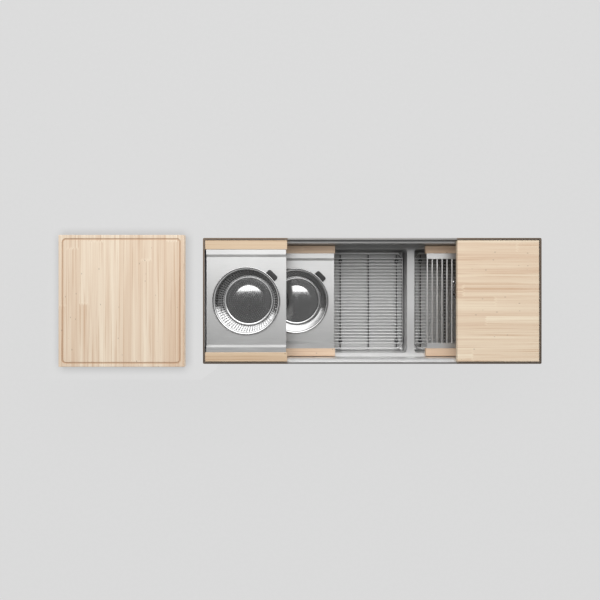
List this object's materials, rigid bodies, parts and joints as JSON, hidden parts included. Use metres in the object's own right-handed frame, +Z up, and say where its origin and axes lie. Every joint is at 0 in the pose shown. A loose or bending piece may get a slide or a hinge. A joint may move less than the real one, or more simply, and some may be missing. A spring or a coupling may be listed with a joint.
{
  "type": "workstation kitchen sink",
  "caption": "Long double-bowl steel sink with two tiers of ledges carrying sliding wooden and steel caddies, a colander, a mixing bowl, a drying rack, grids and boards.",
  "frame": {"origin": "centre of the opening, on the top plane of the rim", "axes": "+X to the right along the sink, +Y to the back, +Z up"},
  "size_m": [1.77, 0.481, 0.4425],
  "materials": {
    "brushed_steel": "brushed, satin",
    "bowl_steel": "fine satin, polished rim",
    "polished_steel": "polished",
    "wire_steel": "electropolished wire",
    "galvanised_steel": "dull zinc",
    "plated_metal": "plated, satin",
    "screw_steel": "plain",
    "maple": "oiled, fine straight grain",
    "maple_board": "oiled, laminated strips",
    "grooved_maple": "oiled, laminated strips",
    "black_silicone": "matt silicone",
    "black_rubber": "matt rubber",
    "damping_rubber": "matt, coarse",
    "black_plastic": "moulded, fine texture",
    "fibre": "pressed fibre"
  },
  "bodies": {
    "sink": {"basin": "brushed_steel", "clip_rails": "galvanised_steel", "sound_pads": "damping_rubber", "left_strainer_body": "polished_steel", "left_gasket": "black_rubber", "left_fibre_washer": "fibre", "left_locknut": "plated_metal", "left_tailpiece": "plated_metal", "left_tailpiece_washer": "black_rubber", "left_coupling_nut": "plated_metal", "right_strainer_body": "polished_steel", "right_gasket": "black_rubber", "right_fibre_washer": "fibre", "right_locknut": "plated_metal", "right_tailpiece": "plated_metal", "right_tailpiece_washer": "black_rubber", "right_coupling_nut": "plated_metal"},
    "left_basket": {"left_basket": "polished_steel", "left_basket_seal": "black_rubber", "left_basket_knob": "black_plastic"},
    "left_grid": {"left_grid": "wire_steel", "left_grid_feet": "black_rubber"},
    "right_basket": {"right_basket": "polished_steel", "right_basket_seal": "black_rubber", "right_basket_knob": "black_plastic"},
    "right_grid": {"right_grid": "wire_steel", "right_grid_feet": "black_rubber"},
    "upper_caddy": {"upper_caddy_rear_rail": "maple", "upper_caddy_front_rail": "maple", "upper_caddy_tray": "brushed_steel", "upper_caddy_screws": "screw_steel"},
    "colander": {"colander": "bowl_steel", "colander_grip": "black_silicone"},
    "lower_caddy": {"lower_caddy_rear_rail": "maple", "lower_caddy_front_rail": "maple", "lower_caddy_tray": "brushed_steel", "lower_caddy_screws": "screw_steel"},
    "mixing_bowl": {"mixing_bowl": "bowl_steel", "mixing_bowl_grip": "black_silicone"},
    "drying_rack": {"rack_rear_rail": "maple", "rack_front_rail": "maple", "rack_rear_channel": "brushed_steel", "rack_front_channel": "brushed_steel", "rack_rods": "wire_steel", "rack_screws": "screw_steel"},
    "cutting_board": {"cutting_board": "maple_board"},
    "grooved_board": {"grooved_board": "grooved_maple"}
  },
  "joints": [
    {"name": "upper_caddy_slide", "type": "slide", "parent": "sink", "child": "upper_caddy", "axis": [1, 0, 0], "range_m": [0, 0.31]},
    {"name": "lower_caddy_slide", "type": "slide", "parent": "sink", "child": "lower_caddy", "axis": [1, 0, 0], "range_m": [-0.18, 0.17]},
    {"name": "drying_rack_slide", "type": "slide", "parent": "sink", "child": "drying_rack", "axis": [1, 0, 0], "range_m": [-0.17, 0.099]},
    {"name": "cutting_board_slide", "type": "slide", "parent": "sink", "child": "cutting_board", "axis": [1, 0, 0], "range_m": [-0.31, 0]},
    {"name": "colander_lift", "type": "slide", "parent": "upper_caddy", "child": "colander", "axis": [0, 0, 1], "range_m": [0, 0.15]},
    {"name": "mixing_bowl_lift", "type": "slide", "parent": "lower_caddy", "child": "mixing_bowl", "axis": [0, 0, 1], "range_m": [0, 0.007]},
    {"name": "left_grid_lift", "type": "slide", "parent": "sink", "child": "left_grid", "axis": [0, 0, 1], "range_m": [0, 0.012]},
    {"name": "right_grid_lift", "type": "slide", "parent": "sink", "child": "right_grid", "axis": [0, 0, 1], "range_m": [0, 0.08]},
    {"name": "left_basket_lift", "type": "slide", "parent": "sink", "child": "left_basket", "axis": [0, 0, 1], "range_m": [0, 0.03]},
    {"name": "right_basket_lift", "type": "slide", "parent": "sink", "child": "right_basket", "axis": [0, 0, 1], "range_m": [0, 0.06]},
    {"name": "grooved_board_lift", "type": "slide", "parent": "sink", "child": "grooved_board", "axis": [0, 0, 1], "range_m": [0, 0.1]}
  ]
}
